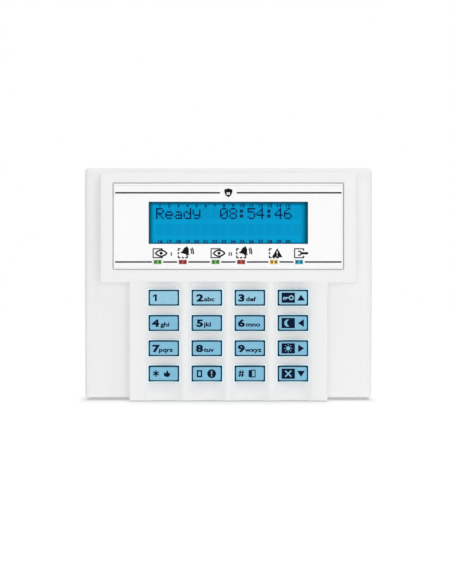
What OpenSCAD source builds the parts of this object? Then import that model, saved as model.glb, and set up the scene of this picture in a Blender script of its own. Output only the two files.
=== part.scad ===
// Wall-mounted alarm keypad panel: rear base, hinged front, text display, six indicators and
// sixteen backlit keys. All sizes are in millimetres.
// The frame: +X to the right, +Z up, the front faces -Y and the wall is the plane Y = 0.
// Modules are drawn flat on the wall, with X right, Y up the wall and Z the distance from the
// wall. stand() turns them upright.

/* [Housing] */
// Width across the seam between base and cover
panel_w = 113; // [108:1:140]
// Height of the base and of the cover's wings
panel_h = 90.5; // [90:0.5:120]
// Distance from the wall to the face of the display hood
panel_d = 23.5; // [23.5:0.1:30]
// Distance from the wall to the face of the wings
wing_d = 16.6; // [15:0.1:18]
// Distance from the wall to the seam between base and cover
seam_d = 5; // [5:0.1:6]
// Thickness of the moulded walls
wall = 2; // [1.6:0.1:2.4]
// Corner radius of the outline
corner_r = 1.5; // [1:0.1:3]
// How far the rounded front edge of the wings reaches in
edge_r = 2; // [1:0.1:3]
// How far the side walls lean in between the seam and the front edge
side_draft = 0.7; // [0.3:0.1:1]

/* [Display hood] */
// From the panel's side to the foot of the hood
hood_side = 6.7; // [5:0.1:8]
// From the panel's top to the foot of the hood
hood_top = 2.5; // [1.5:0.1:4]
// Height of the hood at its foot
hood_h = 43.1; // [42:0.1:46]
// How far the hood's sides lean in up to its face
hood_lean = 1.4; // [1:0.1:2.2]
// Radius of the hood's front edge
hood_edge = 0.8; // [0.4:0.1:1]
// From the edge of the hood's face to the label, left and right
label_side = 4.1; // [4:0.1:7]
// From the edge of the hood's face to the top of the label
label_top = 3; // [2:0.1:4]
// From the edge of the hood's face to the bottom of the label
label_bottom = 3.8; // [2:0.1:5]
// How deep the label lies under the hood's face
label_sink = 1.2; // [0.8:0.1:1.6]
// Thickness of the printed label
label_t = 0.4; // [0.2:0.05:0.6]

/* [Display] */
// Width of the display's visible window
view_w = 61.1; // [56:0.1:64]
// Height of the display's visible window
view_h = 16.2; // [14:0.1:17]
// From the hood's foot at the top to the middle of the window
view_drop = 19.8; // [19:0.05:21]
// Width of the display board
lcd_board_w = 80; // [76:0.5:84]
// Height of the display board
lcd_board_h = 28; // [27:0.5:29]
// Width of the display's metal bezel
bezel_w = 71.2; // [69:0.1:74]
// Height of the display's metal bezel
bezel_h = 23.8; // [22:0.1:24]
// Thickness of the clear window plate
window_t = 1.4; // [1:0.1:1.6]

/* [Indicators] */
// Width of an indicator's light guide
guide_w = 2.9; // [2:0.1:3.5]
// Height of an indicator's light guide
guide_h = 1.5; // [1.2:0.1:2]
// From the middle of the display window down to the row of indicators
guide_drop = 15; // [14.6:0.1:16]

/* [Keypad block] */
// Width of the raised keypad block
block_w = 76.2; // [74:0.2:84]
// How far the block hangs below the wings
block_hang = 0; // [0:0.1:1.5]
// How far the block's ridges lie under the hood's face
ridge_sink = 0.7; // [0.3:0.1:1.5]
// Depth of a key channel below the ridges
channel_deep = 2.8; // [2:0.1:3]
// Hollow of a channel's curved floor
channel_hollow = 1.9; // [1:0.1:2.2]
// Radius of the block's front edge
block_edge = 0.7; // [0.3:0.1:1]

/* [Keys] */
// Width of a key cap
key_w = 10.7; // [9:0.1:11]
// Height of a key cap
key_h = 5.1; // [4.5:0.1:5.6]
// Corner radius of a key cap
key_r = 0.5; // [0.4:0.1:1.2]
// Distance between key columns
key_pitch_x = 16.5; // [16:0.1:17.4]
// Distance between key rows
key_pitch_y = 9.7; // [9.4:0.1:10.4]
// From the block's bottom edge to the lowest row of keys
key_row_up = 10.4; // [10:0.1:12]
// How far a key cap stands above the floor of its channel
key_proud = 2.2; // [1.5:0.1:2.6]
// Travel of a key
key_travel = 1.2; // [0.8:0.1:1.3]
// Gap between a key cap and its opening
key_gap = 0.5; // [0.3:0.05:0.7]
// Radius of a key cap's front edge
key_edge = 0.35; // [0.2:0.05:0.4]

/* [Boards] */
// Distance from the wall to the back of the main board
board_d = 9.4; // [9.2:0.1:9.8]
// Thickness of the boards
board_t = 1.6; // [1:0.1:1.6]
// Gap between the main board's edge and the cover's wall
board_gap = 2.4; // [1:0.1:4]
// Gap between the main board and the display board
lcd_lift = 2; // [1.6:0.1:2.4]

/* [Wall fixing] */
// Distance between the wall screws, left to right
screw_pitch_x = 84; // [70:0.5:86]
// Distance between the wall screws, top to bottom
screw_pitch_y = 60; // [50:0.5:64]
// Radius of the wall screw holes
screw_hole_r = 2.1; // [1.8:0.05:2.4]
// Width of the cable opening
cable_w = 26; // [16:1:30]
// Height of the cable opening
cable_h = 18; // [12:1:20]

/* [Hinge and latches] */
// Radius of the beads that the cover swings on
bead_r = 0.8; // [0.6:0.05:0.9]
// Distance of each bead from the middle
bead_x = 30; // [20:1:36]
// Distance of each latch from the middle
latch_x = 20; // [12:1:30]

/* [Fits] */
// Gap between parts that slip past each other
slip = 0.2; // [0.15:0.05:0.3]
// Gap around parts that move
run_gap = 0.3; // [0.25:0.05:0.4]

/* [Hidden] */
$fn = 48;

far = 1000; // longer than anything here, for cuts that run out of the part
skin = 0.05; // overlap that lets two shapes fuse
edge_step = 15; // turn between the steps of a rounded front edge, in degrees

// The outline
screws_up = 0.35; // the wall screws' middle lies this far below the middle of the outline
top_v = panel_h / 2 + screws_up;
bottom_v = top_v - panel_h;
block_bottom = bottom_v - block_hang;
outline_mid = (top_v + bottom_v) / 2;

// The hood
hood_w = panel_w - 2 * hood_side;
hood_top_v = top_v - hood_top;
hood_mid = hood_top_v - hood_h / 2;
face_w = hood_w - 2 * hood_lean;
face_h = hood_h - 2 * hood_lean;
label_w = face_w - 2 * label_side;
label_h = face_h - label_top - label_bottom;
label_mid = hood_mid + (label_bottom - label_top) / 2;
label_d = panel_d - label_sink - label_t;
label_corner = 0.8;
label_fit = 0.15; // gap round the label
hood_inside = label_d - window_t - 0.1;

// The display
view_v = hood_top_v - view_drop;
window_lap = 0.45; // how far the clear plate reaches behind the label
window_fit = 0.15;
lcd_board_v = view_v + 1.3;
guide_v = view_v - guide_drop;
guide_x = [4.9, 17.45, 27.1];
board_front = board_d + board_t;
lcd_back = board_front + lcd_lift;
lcd_front = lcd_back + board_t;
bezel_front = hood_inside - run_gap;
bezel_t = 0.4;
glass_t = 2;
glass_back = bezel_front - bezel_t - glass_t;
tab_w = 2;
tab_x = [for (c = [-1.5:1.5]) c * bezel_w / 4.4];
lcd_hole_in = 2.3; // from the display board's edges to its screws
lcd_hole_x = lcd_board_w / 2 - lcd_hole_in;
lcd_hole_y = lcd_board_h / 2 - lcd_hole_in;
lcd_screw_r = 1.1;
pin_out = 0.8; // how far soldered pins stand out
lcd_pin_n = 16;
lcd_pin_pitch = 2.54;
lcd_pin_v = lcd_board_v + lcd_board_h / 2 - 1.1;
pin_t = 0.64; // thickness of the square pins
pin_hole = pin_t + 0.3;
light_lap = 1.3; // how far the backlight reaches past the window

// The keypad block
ridge_d = panel_d - ridge_sink;
floor_d = ridge_d - channel_deep;
block_inside = floor_d - wall;
opening_w = key_w + 2 * key_gap;
opening_h = key_h + 2 * key_gap;
channel_w = opening_w + 0.3;
channel_r = (channel_w * channel_w / 4 + channel_hollow * channel_hollow) / (2 * channel_hollow);
channel_top = hood_mid - hood_h / 2 + 0.6;
block_corner = 0.6;
key_x = [for (c = [-1.5:1.5]) c * key_pitch_x];
key_y = [for (r = [3:-1:0]) block_bottom + key_row_up + r * key_pitch_y];

// The keys and their mat
flange = 1.1;
flange_t = 1.3;
flange_front = block_inside - 0.4;
cap_front = floor_d + key_proud;
mat_t = 1.2;
dome_r = 3;
dome_h = 1.2;
dome_front = board_front + mat_t + dome_h;
pill_r = 1.5;
pill_t = 0.3;
post_w = 5;
post_h = 3;
key_led_x = 5.1; // the light sits beside the middle of its key
key_led_w = 1.6;
key_led_h = 0.8;

// The seam, hinge and latches
hinge_wall = wall + 0.2;
pivot_v = top_v - hinge_wall + 0.3;
pivot_d = seam_d + 1.8;
arm_w = 7;
lip_h = 2;
lip_t = 1.2;
lip_gap = wall + slip;
relief = 0.5; // slope of the cover's rear top edge, so that it can swing
tongue_w = 7;
tongue_t = 1.1;
barb = 1.5; // how far a latch's nose reaches
barb_t = 0.6;
barb_d = seam_d + 1.8;
barb_tip = 1.7; // from the nose to the end of the tongue
latch_slot = tongue_w + 2 * run_gap;

// The main board and what it carries
board_w = panel_w - 2 * (wall + board_gap);
board_h = panel_h - 2 * (wall + board_gap);
boss_in = 4.6; // from the main board's edges to its screws
boss_r = 2.8;
boss_x = min(board_w / 2 - boss_in, face_w / 2 - boss_r);
boss_y = board_h / 2 - boss_in;
board_screw_r = 1.2;
pilot_gap = 0.05;
terminal_n = 8;
terminal_pitch = 5;
terminal_deep = 8;
terminal_tall = 6.2;
clamp_back = board_d - 2.9;
terminal_v = bottom_v + 34;
service_x = 44;
service_v = bottom_v + 44;
service_pitch = 2.5;
tamper_x = 30;
tamper_v = bottom_v + 21;
tamper_tall = 3.8;
tamper_tip = 1.6;
tamper_end = board_d - tamper_tall - tamper_tip;
tamper_r = 1.4;

module stand() {
    rotate([90, 0, 0]) children();
}

// A flat plate with round corners, its back face at z0
module plate(w, h, r, z0, t, x = 0, y = 0) {
    translate([x, y, z0]) linear_extrude(t) {
        square([w - 2 * r, h], center = true);
        square([w, h - 2 * r], center = true);
        for (sx = [-1, 1], sy = [-1, 1]) translate([sx * (w / 2 - r), sy * (h / 2 - r)]) circle(r);
    }
}

// A box centred on x and y, from z0 to z1
module block(w, h, z0, z1, x = 0, y = 0) {
    translate([x - w / 2, y - h / 2, z0]) cube([w, h, z1 - z0]);
}

module rod(r, z0, z1, x = 0, y = 0) {
    translate([x, y, z0]) cylinder(r = r, h = z1 - z0);
}

// A bar along X with a round section
module bar(r, length, x, y, z) {
    translate([x - length / 2, y, z]) rotate([0, 90, 0]) cylinder(r = r, h = length);
}

module each_key() {
    for (x = key_x, y = key_y) translate([x, y, 0]) children();
}

module each_guide() {
    for (s = [-1, 1], x = guide_x) translate([s * x, guide_v, 0]) children();
}

// ---- Rear base ----

module base_shell() {
    difference() {
        plate(panel_w, panel_h, corner_r, 0, seam_d, 0, outline_mid);
        block(panel_w - 2 * wall, panel_h - 2 * wall, wall, far, 0, outline_mid);
    }
}

// A lip on the sides and the bottom that the cover slips over. The top stays open to swing.
module base_lip() {
    lip_w = panel_w - 2 * lip_gap;
    lip_top = top_v - 6;
    lip_bottom = bottom_v + lip_gap;
    lip_mid = (lip_top + lip_bottom) / 2;
    lip_z = wall - skin;
    for (s = [-1, 1])
        block(lip_t, lip_top - lip_bottom, lip_z, seam_d + lip_h, s * (lip_w - lip_t) / 2, lip_mid);
    for (s = [-1, 1]) {
        run = panel_w / 2 - lip_gap - latch_x - tongue_w;
        block(run, lip_t, lip_z, seam_d + lip_h, s * (lip_w / 2 - run / 2), lip_bottom + lip_t / 2);
    }
}

// Two arms whose round beads sit in grooves of the cover's top wall
module pivot_arms() {
    arm_drop = 2.1;
    arm_t = 1.3;
    neck_t = 1.4;
    neck_h = arm_drop - bead_r / 2;
    arm_top = pivot_v - arm_drop;
    for (s = [-1, 1]) {
        block(arm_w, arm_t, wall - skin, pivot_d + neck_t, s * bead_x, arm_top - arm_t / 2);
        block(arm_w, neck_h, pivot_d + 0.1, pivot_d + neck_t, s * bead_x, arm_top + neck_h / 2 - skin);
        bar(bead_r, arm_w, s * bead_x, pivot_v, pivot_d);
    }
}

module screw_pads(r, z0, z1) {
    for (sx = [-1, 1], sy = [-1, 1])
        rod(r, z0, z1, sx * screw_pitch_x / 2, sy * screw_pitch_y / 2);
}

module rear_base() {
    pad_r = screw_hole_r + 2.4;
    pad_t = 0.6;
    rim_t = 0.5;
    tamper_pad_r = 3;
    air_w = 1.6;
    air_h = 12;
    air_first = 7; // from the side of the cable opening
    air_step = 3.4;
    color("gainsboro") stand() difference() {
        union() {
            base_shell();
            base_lip();
            pivot_arms();
            screw_pads(pad_r, wall - skin, wall + pad_t);
            // raised rim round the cable opening
            block(cable_w + 2 * wall, cable_h + 2 * wall, wall - skin, wall + rim_t);
            // pad that holds the tamper plunger in
            rod(tamper_pad_r, wall - skin, tamper_end - run_gap, tamper_x, tamper_v);
        }
        screw_pads(screw_hole_r, -1, wall + 1);
        block(cable_w, cable_h, -1, wall + 1);
        // air slots beside the cable opening
        for (s = [-1, 1], i = [0:3])
            block(air_w, air_h, -1, wall + 1, s * (cable_w / 2 + air_first + air_step * i), 0);
    }
}

// Two springy tongues at the bottom that snap into the cover's release slots
module latch_tongues() {
    foot_v = bottom_v + wall + slip + 0.3;
    foot_t = tongue_t + 0.8;
    foot_top = wall + 1.2;
    tip = barb_d + barb_tip;
    color("gainsboro") stand() for (s = [-1, 1]) translate([s * latch_x, foot_v, 0]) rotate([90, 0, 90])
        translate([0, 0, -tongue_w / 2]) linear_extrude(tongue_w) polygon([
            [0, wall], [foot_t, wall], [tongue_t, foot_top], [tongue_t, tip],
            [0, tip], [-barb, barb_d + barb_t], [-barb, barb_d], [0, barb_d]]);
}

// ---- Front cover ----

// A plate whose sides lean in from z0 up to a rounded front edge at z1
module dished(w, h, r, z0, z1, lean, edge, y = 0) {
    thin = 0.02;
    hull() {
        plate(w, h, r, z0, thin, 0, y, $fn = 32);
        for (a = [0:edge_step:90]) {
            inset = lean + edge * (1 - cos(a));
            plate(w - 2 * inset, h - 2 * inset, r, z1 - edge + edge * sin(a) - thin, thin, 0, y, $fn = 32);
        }
    }
}

module cover_skin() {
    block_h = hood_mid - block_bottom;
    dished(panel_w, panel_h, corner_r, seam_d, wing_d, side_draft, edge_r, outline_mid);
    dished(hood_w, hood_h, corner_r, wing_d - 1, panel_d, hood_lean - hood_edge, hood_edge, hood_mid);
    dished(block_w, block_h, block_corner, seam_d, ridge_d, 0.1, block_edge, block_bottom + block_h / 2);
}

module cover_hollows() {
    inner_w = panel_w - 2 * (wall + side_draft);
    inner_top = top_v - hinge_wall - side_draft;
    inner_bottom = bottom_v + wall + side_draft;
    // straight-sided mouth that slips over the base's lip
    mouth_top = top_v - hinge_wall;
    mouth_bottom = bottom_v + wall;
    block(panel_w - 2 * wall, mouth_top - mouth_bottom, seam_d - 1, seam_d + lip_h + 2.2, 0,
          (mouth_top + mouth_bottom) / 2);
    block(inner_w, inner_top - inner_bottom, seam_d, wing_d - wall, 0, (inner_top + inner_bottom) / 2);
    hood_in_h = hood_h - 2 * (wall + hood_lean);
    block(hood_w - 2 * (wall + hood_lean), hood_in_h, seam_d, hood_inside, 0, hood_mid);
    keys_top = hood_mid;
    keys_bottom = inner_bottom;
    block(block_w - 2 * wall, keys_top - keys_bottom, seam_d, block_inside, 0, (keys_top + keys_bottom) / 2);
    // cores inside the ridges keep the wall even
    for (c = [-1:1])
        block(key_pitch_x - channel_w - 2 * wall + 1, keys_top - keys_bottom - 4, seam_d, ridge_d - wall,
              c * key_pitch_x, (keys_top + keys_bottom) / 2 - 2);
}

module key_channels() {
    for (x = key_x) {
        translate([x, block_bottom - 1, floor_d + channel_r]) rotate([-90, 0, 0])
            cylinder(r = channel_r, h = channel_top - block_bottom + 1, $fn = 96);
        block(channel_w, channel_top - block_bottom + 1, floor_d + channel_hollow, far, x,
              (channel_top + block_bottom - 1) / 2);
    }
}

module cover_bosses() {
    for (sx = [-1, 1], sy = [-1, 1])
        rod(boss_r, board_front, (sy > 0 ? hood_inside : wing_d - wall) + skin, sx * boss_x,
            outline_mid + sy * boss_y);
    // posts that hold the key mat down
    mat_post_r = 1.2;
    for (c = [-1:1], r = [0:2])
        rod(mat_post_r, board_front + mat_t + 0.1, ridge_d - wall + skin, c * key_pitch_x,
            (key_y[r] + key_y[r + 1]) / 2);
}

module front_cover() {
    release_h = 6;
    pilot_deep = 3.4;
    window_w = view_w + 2 * (window_lap + window_fit);
    window_h = view_h + 2 * (window_lap + window_fit);
    color("whitesmoke") stand() difference() {
        union() {
            difference() {
                cover_skin();
                cover_hollows();
            }
            cover_bosses();
        }
        key_channels();
        each_key() plate(opening_w, opening_h, key_r + key_gap / 2, block_inside - 1, far);
        // recess for the label, window and indicator openings
        plate(label_w, label_h, label_corner, label_d, far, 0, label_mid);
        plate(window_w, window_h, 0.6, hood_inside - 1, far, 0, view_v);
        each_guide() block(guide_w + 2 * label_fit, guide_h + 2 * label_fit, hood_inside - 1, far);
        // pilot holes for the board's screws
        for (sx = [-1, 1], sy = [-1, 1])
            rod(board_screw_r + pilot_gap, board_front - 1, board_front + pilot_deep, sx * boss_x,
                outline_mid + sy * boss_y);
        // grooves for the beads, and the slope that lets the top edge swing
        for (s = [-1, 1]) bar(bead_r + run_gap, arm_w + 2 * run_gap, s * bead_x, pivot_v, pivot_d);
        translate([-panel_w, 0, 0]) rotate([90, 0, 90]) linear_extrude(2 * panel_w) polygon([
            [pivot_v, seam_d - 1], [pivot_v, seam_d], [top_v + 1, seam_d + relief * (top_v + 1 - pivot_v)],
            [top_v + 1, seam_d - 1]]);
        // release slots for the latches
        for (s = [-1, 1])
            block(latch_slot, release_h, barb_d - run_gap, barb_d + barb_tip + run_gap, s * latch_x,
                  bottom_v + wall + slip - release_h / 2);
    }
}

module display_label() {
    color("white") stand() difference() {
        plate(label_w - 2 * label_fit, label_h - 2 * label_fit, label_corner - label_fit, label_d, label_t,
              0, label_mid);
        block(view_w, view_h, label_d - 1, far, 0, view_v);
        each_guide() block(guide_w + slip, guide_h + slip, label_d - 1, far);
    }
}

module display_window() {
    color("skyblue", 0.4) stand()
        plate(view_w + 2 * window_lap, view_h + 2 * window_lap, 0.5, label_d - window_t, window_t, 0, view_v);
}

// ---- Indicators ----

module light_guides() {
    back = board_front + 1;
    foot_t = 1;
    color("ivory") stand() each_guide() {
        block(guide_w, guide_h, back, label_d + label_t - skin);
        block(guide_w + 1, guide_h + 0.6, back, back + foot_t);
    }
}

// A pair of chips side by side on the main board
module led_pair(x) {
    chip_w = 0.9;
    chip_h = 1.25;
    chip_t = 0.8;
    for (s = [-1, 1]) block(chip_w, chip_h, board_front, board_front + chip_t, x + s * guide_w / 4, guide_v);
}

module green_leds() {
    color("limegreen") stand() {
        led_pair(-guide_x[2]);
        led_pair(-guide_x[0]);
    }
}

module red_leds() {
    color("red") stand() {
        led_pair(-guide_x[1]);
        led_pair(guide_x[0]);
    }
}

module yellow_leds() {
    color("gold") stand() led_pair(guide_x[1]);
}

module blue_leds() {
    color("deepskyblue") stand() led_pair(guide_x[2]);
}

// ---- Display module ----

module each_lcd_hole() {
    for (sx = [-1, 1], sy = [-1, 1]) translate([sx * lcd_hole_x, lcd_board_v + sy * lcd_hole_y, 0]) children();
}

module each_lcd_pin() {
    first = -(lcd_pin_n - 1) / 2 * lcd_pin_pitch;
    for (i = [0:lcd_pin_n - 1]) translate([first + i * lcd_pin_pitch, lcd_pin_v, 0]) children();
}

module lcd_board() {
    color("darkgreen") stand() difference() {
        plate(lcd_board_w, lcd_board_h, 0.6, lcd_back, board_t, 0, lcd_board_v);
        each_lcd_hole() rod(lcd_screw_r + slip, lcd_back - 1, lcd_front + 1);
        each_lcd_pin() block(pin_hole, pin_hole, lcd_back - 1, lcd_front + 1);
        // slots for the bezel's tabs
        for (x = tab_x, s = [-1, 1])
            block(tab_w + 2 * slip, 2 * bezel_t, lcd_back - 1, lcd_front + 1, x,
                  view_v + s * (bezel_h - bezel_t) / 2);
    }
}

module lcd_backlight() {
    color("aqua") stand()
        block(bezel_w - 2, view_h + 2 * light_lap, lcd_front, glass_back, 0, view_v);
}

module lcd_glass() {
    color("steelblue", 0.6) stand() {
        block(bezel_w - 2, bezel_h - 4 * bezel_t, glass_back, glass_back + glass_t / 2, 0, view_v);
        block(bezel_w - 2, view_h + 3, glass_back + glass_t / 2, glass_back + glass_t, 0, view_v);
    }
}

// Elastomer strips that carry the signals from the board to the glass
module lcd_strips() {
    gap = 0.3;
    strip_h = (bezel_h - view_h) / 2 - light_lap - 2 * gap - 2 * bezel_t;
    color("dimgray") stand() for (s = [-1, 1])
        block(bezel_w - 8, strip_h, lcd_front, glass_back, 0,
              view_v + s * (view_h / 2 + light_lap + gap + strip_h / 2));
}

module lcd_bezel() {
    tab_end = lcd_back - 0.6;
    color("black") stand() {
        difference() {
            plate(bezel_w, bezel_h, 0.6, lcd_front, bezel_front - lcd_front, 0, view_v);
            block(bezel_w - 2 * bezel_t, bezel_h - 2 * bezel_t, lcd_front - 1, bezel_front - bezel_t,
                  0, view_v);
            block(view_w + 2.4, view_h + 1.6, lcd_front - 1, far, 0, view_v);
        }
        for (x = tab_x, s = [-1, 1])
            block(tab_w, bezel_t, tab_end, lcd_front + 0.2, x, view_v + s * (bezel_h - bezel_t) / 2);
    }
}

module lcd_pins() {
    color("goldenrod") stand() {
        block(lcd_pin_n * lcd_pin_pitch, 2.1, board_front, lcd_back, 0, lcd_pin_v);
        each_lcd_pin() block(pin_t, pin_t, board_d - pin_out, lcd_front + pin_out);
    }
}

module lcd_spacers() {
    color("ivory") stand() each_lcd_hole() difference() {
        rod(2.2, board_front, lcd_back);
        rod(lcd_screw_r + slip, board_front - 1, lcd_back + 1);
    }
}

module pan_screw(r, head_r, head_t, seat_z, length, way) {
    // way is 1 where the shank runs away from the wall, -1 where it runs towards it
    mirror([0, 0, way > 0 ? 0 : 1]) translate([0, 0, way * seat_z]) {
        difference() {
            rod(head_r, -head_t, 0);
            block(head_r * 1.2, 0.4, -far, -head_t + 0.5);
            block(0.4, head_r * 1.2, -far, -head_t + 0.5);
        }
        rod(r, -skin, length);
    }
}

module lcd_screws() {
    length = lcd_front - board_d + 0.4;
    color("silver") stand() each_lcd_hole() pan_screw(lcd_screw_r, 1.8, 1, lcd_front, length, -1);
}

// ---- Main board ----

module main_board() {
    color("seagreen") stand() difference() {
        plate(board_w, board_h, 1, board_d, board_t, 0, outline_mid);
        for (sx = [-1, 1], sy = [-1, 1])
            rod(board_screw_r + slip, board_d - 1, board_front + 1, sx * boss_x, outline_mid + sy * boss_y);
        each_lcd_hole() rod(lcd_screw_r + slip, board_d - 1, board_front + 1);
        each_lcd_pin() block(pin_hole, pin_hole, board_d - 1, board_front + 1);
        each_service_pin() block(pin_hole, pin_hole, board_d - 1, board_front + 1);
    }
}

module board_screws() {
    color("silver") stand() for (sx = [-1, 1], sy = [-1, 1])
        translate([sx * boss_x, outline_mid + sy * boss_y, 0])
            pan_screw(board_screw_r, 2.3, 1.3, board_d, board_t + 3, 1);
}

module microcontroller() {
    chip = 10;
    chip_t = 1.4;
    chip_lift = 0.1;
    leg_w = 0.35;
    leg_t = 0.2;
    leg_pitch = 0.8;
    leg_reach = 0.7;
    color("black") stand() translate([-24, bottom_v + 64, 0]) {
        block(chip, chip, board_d - chip_lift - chip_t, board_d - chip_lift);
        // gull-wing legs on all four sides
        for (turn = [0, 90], s = [-1, 1], i = [-5:5]) rotate(turn) translate([i * leg_pitch, s * chip / 2, 0]) {
            block(leg_w, leg_reach, board_d - 4 * leg_t, board_d - 3 * leg_t, 0, s * leg_reach / 2.4);
            block(leg_w, leg_t, board_d - 4 * leg_t, board_d, 0, s * leg_reach * 0.9);
        }
    }
}

module crystal() {
    can_w = 7;
    can_r = 2.3;
    can_t = 3.4;
    color("silver") stand() translate([-8, bottom_v + 66, 0]) {
        block(can_w, 2 * can_r, board_d - can_t, board_d);
        for (s = [-1, 1]) rod(can_r, board_d - can_t, board_d, s * can_w / 2, 0);
    }
}

module voltage_regulator() {
    body_w = 6.5;
    body_h = 6.1;
    body_t = 2.3;
    tab_t = 0.5;
    leg_x = 2.28;
    color("dimgray") stand() translate([31, bottom_v + 60, 0]) {
        block(body_w, body_h, board_d - body_t, board_d);
        block(body_w - 1.3, 2, board_d - tab_t, board_d, 0, body_h / 2 + 0.85);
        for (s = [-1, 1]) block(0.8, 2.6, board_d - tab_t, board_d, s * leg_x, -body_h / 2 - 1.15);
    }
}

module capacitors() {
    foot_w = 6.6;
    foot_t = 0.6;
    can_r = 3.15;
    can_t = 5.4;
    color("midnightblue") stand() for (x = [9, 18]) translate([x, bottom_v + 67, 0]) {
        block(foot_w, foot_w, board_d - foot_t, board_d);
        rod(can_r, board_d - can_t, board_d - foot_t + skin);
    }
}

module resistors() {
    chip_w = 1.2;
    chip_h = 2;
    chip_t = 0.55;
    step = 2.6;
    color("black") stand() {
        for (i = [0:7]) block(chip_w, chip_h, board_d - chip_t, board_d, step * i - 40, bottom_v + 54);
        for (i = [0:5]) block(chip_w, chip_h, board_d - chip_t, board_d, step * i + 14, bottom_v + 56);
    }
}

module buzzer() {
    case_r = 6;
    case_t = 5;
    hole_r = 1.2;
    color("black") stand() translate([-36, bottom_v + 30, 0]) difference() {
        rod(case_r, board_d - case_t, board_d);
        rod(hole_r, -far, board_d - case_t + 1);
    }
}

module each_terminal() {
    first = -(terminal_n - 1) / 2 * terminal_pitch;
    for (i = [0:terminal_n - 1]) translate([first + i * terminal_pitch, terminal_v, 0]) children();
}

module terminal_block() {
    well_r = 1.7;
    well_floor = 1.6;
    funnel_w = 3;
    color("green") stand() difference() {
        block(terminal_n * terminal_pitch, terminal_deep, board_d - terminal_tall, board_d, 0, terminal_v);
        // a screw well, and a wire funnel that opens downwards
        each_terminal() {
            rod(well_r, -far, board_d - well_floor);
            block(funnel_w, terminal_deep, board_d - 4, board_d - 1.4, 0, -terminal_deep / 2);
        }
    }
}

module terminal_screws() {
    head_r = 1.5;
    head_back = board_d - terminal_tall + 0.6;
    slot_w = 0.5;
    slot_t = 0.6;
    color("silver") stand() each_terminal() difference() {
        rod(head_r, head_back, clamp_back - 0.3);
        block(slot_w, 3 * head_r, -far, head_back + slot_t);
    }
}

module terminal_clamps() {
    clamp_w = 2.2;
    color("silver") stand() each_terminal() block(clamp_w, clamp_w, clamp_back, board_d - 1.6);
}

module each_service_pin() {
    for (i = [-2:2]) translate([service_x, service_v + i * service_pitch, 0]) children();
}

module service_pins() {
    header_w = 2.5;
    pin_back = 6.2;
    color("goldenrod") stand() {
        block(header_w, 5 * service_pitch, board_d - header_w, board_d, service_x, service_v);
        each_service_pin() block(pin_t, pin_t, board_d - pin_back, board_front + pin_out);
    }
}

module tamper_switch() {
    case_w = 6;
    floor_t = 0.8;
    color("black") stand() difference() {
        block(case_w, case_w, board_d - tamper_tall, board_d, tamper_x, tamper_v);
        rod(tamper_r + run_gap, -far, board_d - floor_t, tamper_x, tamper_v);
    }
}

module tamper_plunger() {
    plunger_gap = 2.4; // room to the board, of which the plunger uses one millimetre
    color("white") stand() rod(tamper_r, tamper_end, board_d - plunger_gap, tamper_x, tamper_v);
}

// ---- Keys ----

module keypad_mat() {
    mat_w = 3 * key_pitch_x + 18;
    mat_h = 3 * key_pitch_y + 12;
    dome_lean = 0.9;
    dome_t = 0.4;
    color("lightgray") stand() difference() {
        union() {
            plate(mat_w, mat_h, 1.5, board_front, mat_t, 0, (key_y[0] + key_y[3]) / 2);
            each_key() translate([0, 0, board_front + mat_t - skin])
                cylinder(r1 = dome_r, r2 = dome_r - dome_lean, h = dome_h + skin);
        }
        each_key() {
            translate([0, 0, board_front - 1]) cylinder(r = dome_r - dome_t, h = mat_t + 1.2);
            // opening for the light
            block(key_led_w + 0.6, 2 * key_led_h, board_front - 1, board_front + mat_t + 1, key_led_x, 0);
        }
    }
}

module carbon_pills() {
    front = board_front + mat_t + 0.2;
    color("black") stand() each_key() rod(pill_r, front - pill_t, front);
}

module contact_pads() {
    pad_r = 2;
    color("gold") stand() each_key() rod(pad_r, board_front, board_front + 0.06);
}

module key_leds() {
    color("aqua") stand() each_key() block(key_led_w, key_led_h, board_front, board_front + 0.7, key_led_x, 0);
}

module key_cap(column, row) {
    color("lightskyblue") stand() translate([key_x[column], key_y[row], 0]) {
        dished(key_w, key_h, key_r, flange_front - skin, cap_front, 0, key_edge);
        plate(key_w + 2 * flange, key_h + 2 * flange, 1.2, flange_front - flange_t, flange_t);
        block(post_w, post_h, dome_front + run_gap, flange_front - flange_t + skin);
    }
}

module key_1() { key_cap(0, 0); }
module key_2() { key_cap(1, 0); }
module key_3() { key_cap(2, 0); }
module key_up() { key_cap(3, 0); }
module key_4() { key_cap(0, 1); }
module key_5() { key_cap(1, 1); }
module key_6() { key_cap(2, 1); }
module key_left() { key_cap(3, 1); }
module key_7() { key_cap(0, 2); }
module key_8() { key_cap(1, 2); }
module key_9() { key_cap(2, 2); }
module key_right() { key_cap(3, 2); }
module key_star() { key_cap(0, 3); }
module key_0() { key_cap(1, 3); }
module key_hash() { key_cap(2, 3); }
module key_down() { key_cap(3, 3); }

rear_base();
latch_tongues();
front_cover();
display_label();
display_window();
light_guides();
green_leds();
red_leds();
yellow_leds();
blue_leds();
lcd_board();
lcd_backlight();
lcd_glass();
lcd_bezel();
lcd_strips();
lcd_pins();
lcd_spacers();
lcd_screws();
main_board();
board_screws();
microcontroller();
crystal();
voltage_regulator();
capacitors();
resistors();
buzzer();
terminal_block();
terminal_screws();
terminal_clamps();
service_pins();
tamper_switch();
tamper_plunger();
keypad_mat();
carbon_pills();
contact_pads();
key_leds();
key_1();
key_2();
key_3();
key_up();
key_4();
key_5();
key_6();
key_left();
key_7();
key_8();
key_9();
key_right();
key_star();
key_0();
key_hash();
key_down();
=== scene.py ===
# %% [markdown]
# # An alarm keypad panel
#
# This notebook dresses a wall-mounted alarm keypad: a white moulded housing with a blue text
# display, six indicators and sixteen lit keys. The housing's sizes and joints come from the
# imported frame, so every piece below is placed from the frame's own boxes and never by eye.
# All lengths are in metres; `MM` is one millimetre.

# %% Load the frame
import math
import bmesh
import bpy
from mathutils import Matrix, Vector


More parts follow.
